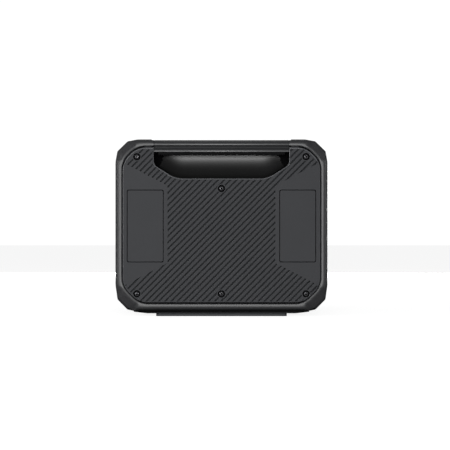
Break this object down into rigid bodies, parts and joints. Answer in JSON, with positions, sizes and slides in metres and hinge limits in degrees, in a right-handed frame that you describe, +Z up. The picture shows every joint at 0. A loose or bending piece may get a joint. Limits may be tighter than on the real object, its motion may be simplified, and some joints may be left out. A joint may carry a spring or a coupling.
{
  "type": "stackable expansion battery",
  "caption": "Portable stackable battery box with rounded guard frames, ribbed end panels, a carrying handle at each end, and a side panel with a power button and a flap over its ports.",
  "frame": {"origin": "on the floor, under the middle of the battery (bottom centre of its overall box)", "axes": "+Z up; -Y faces the viewer who sees the ribbed end with its handle; +X is the long side with the power button, display and ports"},
  "size_m": [0.294, 0.42, 0.245],
  "materials": {
    "housing_plastic": "fine-textured dark grey moulded plastic",
    "frame_plastic": "satin charcoal moulded plastic with a finely grained corner facet",
    "panel_plastic": "matte dark grey moulded plastic, diagonally ribbed",
    "well_plastic": "satin black",
    "bar_plastic": "satin charcoal",
    "rubber": "matte black",
    "gloss_black": "gloss black",
    "black_screw": "black zinc finish",
    "steel": "plain steel",
    "aluminium": "plain aluminium",
    "copper": "bright copper",
    "cell_wrap": "blue shrink wrap",
    "insulator": "off-white glass-filled sheet",
    "board": "green circuit board",
    "red_cable": "red cable jacket",
    "black_cable": "black cable jacket"
  },
  "bodies": {
    "battery": {"front_end_frame": "frame_plastic", "front_end_panel": "panel_plastic", "front_handle_well": "well_plastic", "front_handle_bar": "bar_plastic", "front_handle_core": "black_screw", "front_handle_grip": "rubber", "front_panel_screw_1": "black_screw", "front_panel_screw_2": "black_screw", "front_panel_screw_3": "black_screw", "front_panel_screw_4": "black_screw", "front_panel_screw_5": "black_screw", "front_panel_screw_6": "black_screw", "rear_end_frame": "frame_plastic", "rear_end_panel": "panel_plastic", "rear_handle_well": "well_plastic", "rear_handle_bar": "bar_plastic", "rear_handle_core": "black_screw", "rear_handle_grip": "rubber", "rear_panel_screw_1": "black_screw", "rear_panel_screw_2": "black_screw", "rear_panel_screw_3": "black_screw", "rear_panel_screw_4": "black_screw", "rear_panel_screw_5": "black_screw", "rear_panel_screw_6": "black_screw", "bottom_housing": "housing_plastic", "top_housing": "housing_plastic", "housing_seal": "rubber", "stacking_base": "rubber", "top_mat": "rubber", "service_cover": "panel_plastic", "control_panel": "gloss_black", "port_socket_1": "gloss_black", "port_socket_2": "gloss_black", "display_window": "gloss_black", "control_board": "board", "cell_1": "cell_wrap", "cell_2": "cell_wrap", "cell_3": "cell_wrap", "cell_4": "cell_wrap", "cell_5": "cell_wrap", "cell_6": "cell_wrap", "cell_7": "cell_wrap", "cell_8": "cell_wrap", "compression_plate_left": "insulator", "compression_plate_right": "insulator", "steel_band_lower": "steel", "steel_band_upper": "steel", "busbar_1": "copper", "busbar_2": "copper", "busbar_3": "copper", "busbar_4": "copper", "busbar_5": "copper", "busbar_6": "copper", "busbar_7": "copper", "bms_bracket": "aluminium", "bms_board": "board", "negative_lead": "black_cable", "positive_lead": "red_cable"},
    "power_button": {"power_button": "panel_plastic"},
    "port_door": {"port_door": "panel_plastic"}
  },
  "joints": [
    {"name": "power_button_press", "type": "slide", "parent": "battery", "child": "power_button", "axis": [-1, 0, 0], "range_m": [0, 0.0015], "stiffness_N_per_m": 1000, "springref_m": -0.0005},
    {"name": "port_door_hinge", "type": "hinge", "parent": "battery", "child": "port_door", "pos_m": [0.1413, 0.031, 0.168], "axis": [0, -1, 0], "range_deg": [0, 95]}
  ]
}
